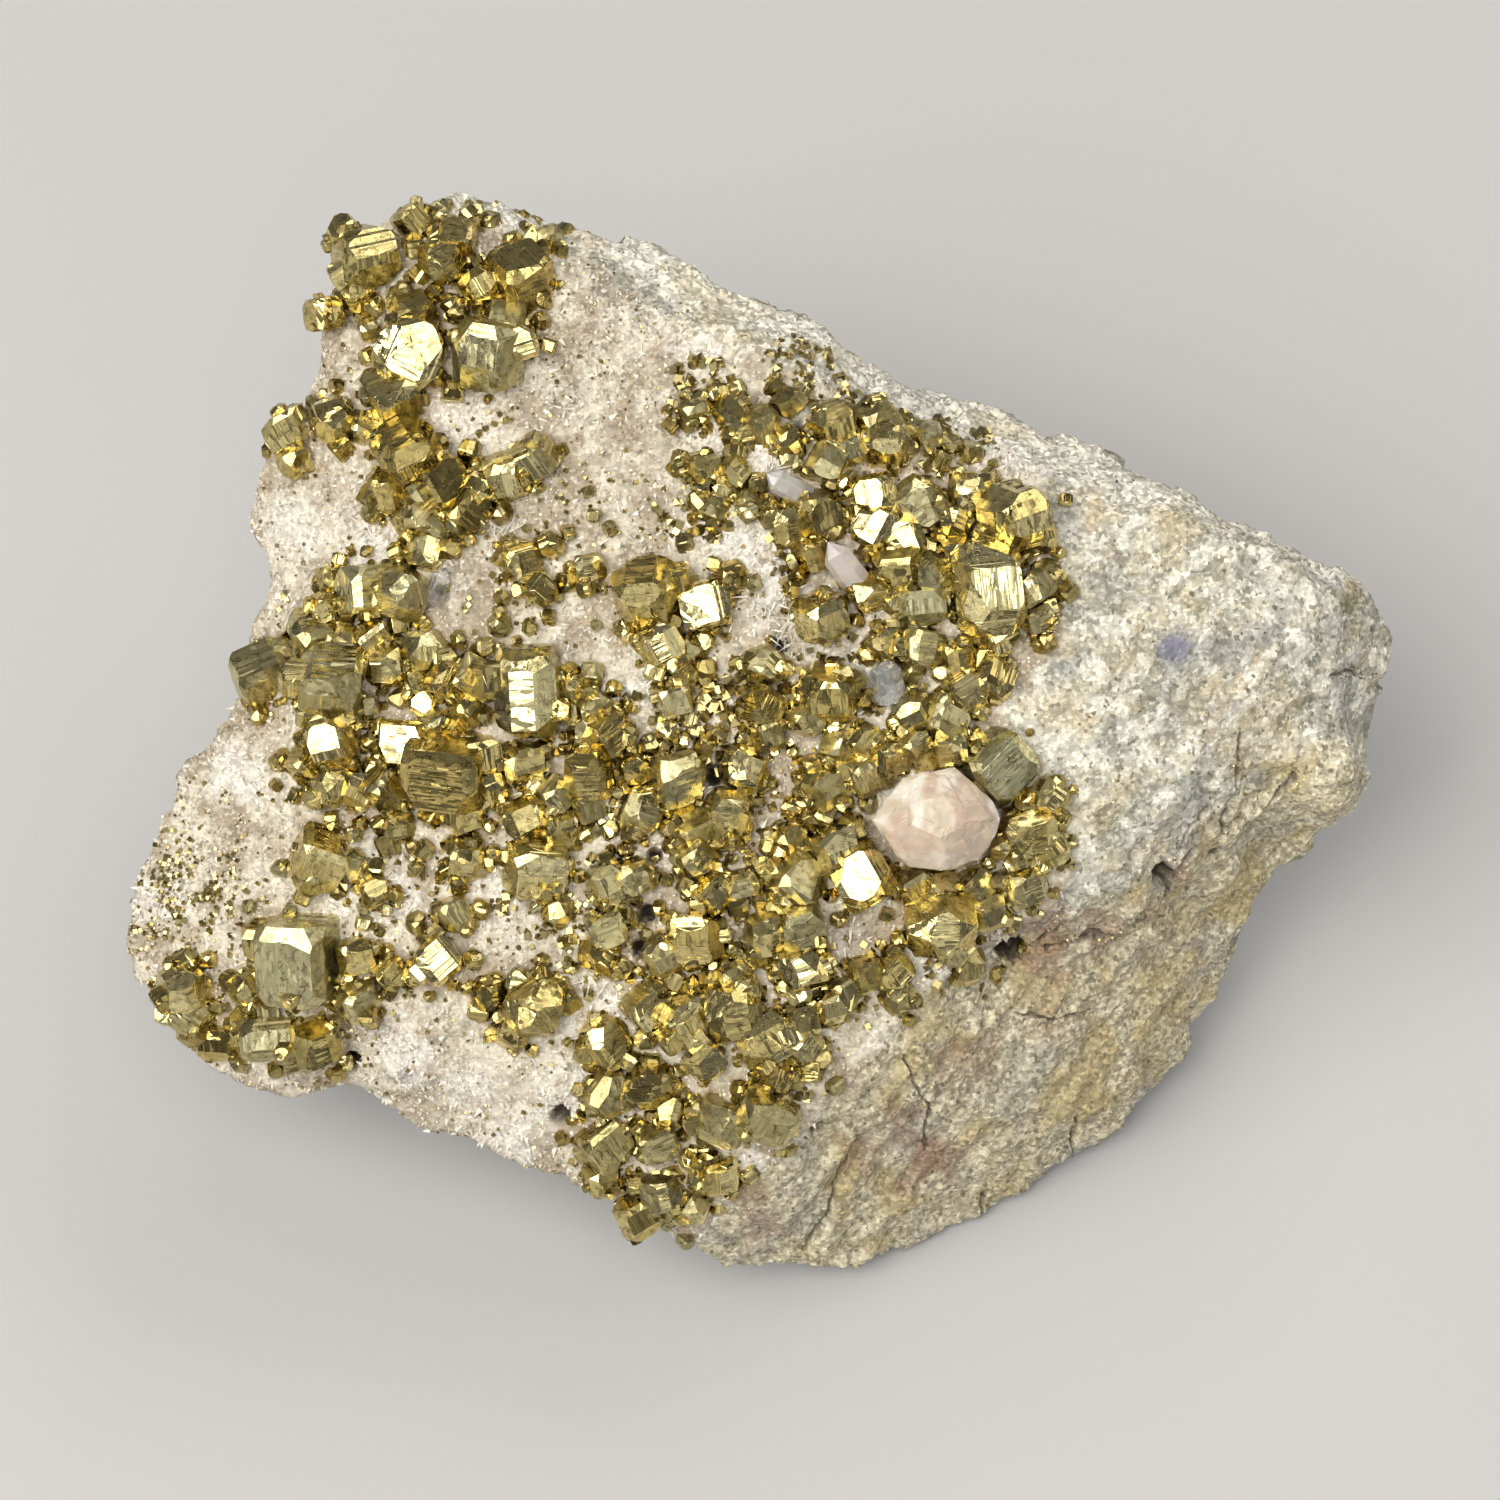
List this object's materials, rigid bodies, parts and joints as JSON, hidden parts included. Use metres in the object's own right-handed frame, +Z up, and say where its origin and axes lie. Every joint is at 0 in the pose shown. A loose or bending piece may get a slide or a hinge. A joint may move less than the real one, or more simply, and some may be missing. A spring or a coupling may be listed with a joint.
{
  "type": "pyrite crystal specimen on matrix",
  "caption": "Brassy striated pyrite crystals with a milky calcite crystal on a quartz druse, over a wedge of pale broken rock that lies on a flat patch.",
  "frame": {"origin": "middle of the bounding box's bottom face, on the surface that the specimen lies on", "axes": "+X along the specimen's longest extent, towards the bare broken end; -Y is the side that the crystal face leans towards; +Z up"},
  "size_m": [0.0752, 0.0558, 0.0419],
  "materials": {
    "rock": "rough broken rock with a sugary quartz druse",
    "calcite": "milky, pale pink, half see-through",
    "quartz": "clear to cloudy crystal",
    "pyrite": "bright brassy metal, striated faces"
  },
  "bodies": {
    "root": {"calcite_crystal": "calcite", "matrix_rock": "rock", "pyrite_centre_1": "pyrite", "pyrite_centre_2": "pyrite", "pyrite_centre_3": "pyrite", "pyrite_centre_4": "pyrite", "pyrite_centre_5": "pyrite", "pyrite_left_edge_1": "pyrite", "pyrite_left_middle_1": "pyrite", "pyrite_lower_left_1": "pyrite", "pyrite_lower_left_2": "pyrite", "pyrite_lower_left_3": "pyrite", "pyrite_lower_left_4": "pyrite", "pyrite_lower_left_5": "pyrite", "pyrite_lower_left_6": "pyrite", "pyrite_lower_left_7": "pyrite", "pyrite_lower_left_8": "pyrite", "pyrite_lower_middle_1": "pyrite", "pyrite_lower_middle_2": "pyrite", "pyrite_lower_middle_3": "pyrite", "pyrite_lower_middle_4": "pyrite", "pyrite_right_1": "pyrite", "pyrite_right_2": "pyrite", "pyrite_right_3": "pyrite", "pyrite_right_lower_1": "pyrite", "pyrite_right_lower_2": "pyrite", "pyrite_top_1": "pyrite", "pyrite_top_2": "pyrite", "pyrite_top_3": "pyrite", "pyrite_upper_left_1": "pyrite", "pyrite_upper_left_2": "pyrite", "pyrite_upper_left_3": "pyrite", "quartz_blade_grey": "quartz", "quartz_blade_pink": "quartz", "quartz_crystal_blue": "quartz", "quartz_crystal_clear": "quartz"}
  },
  "joints": []
}
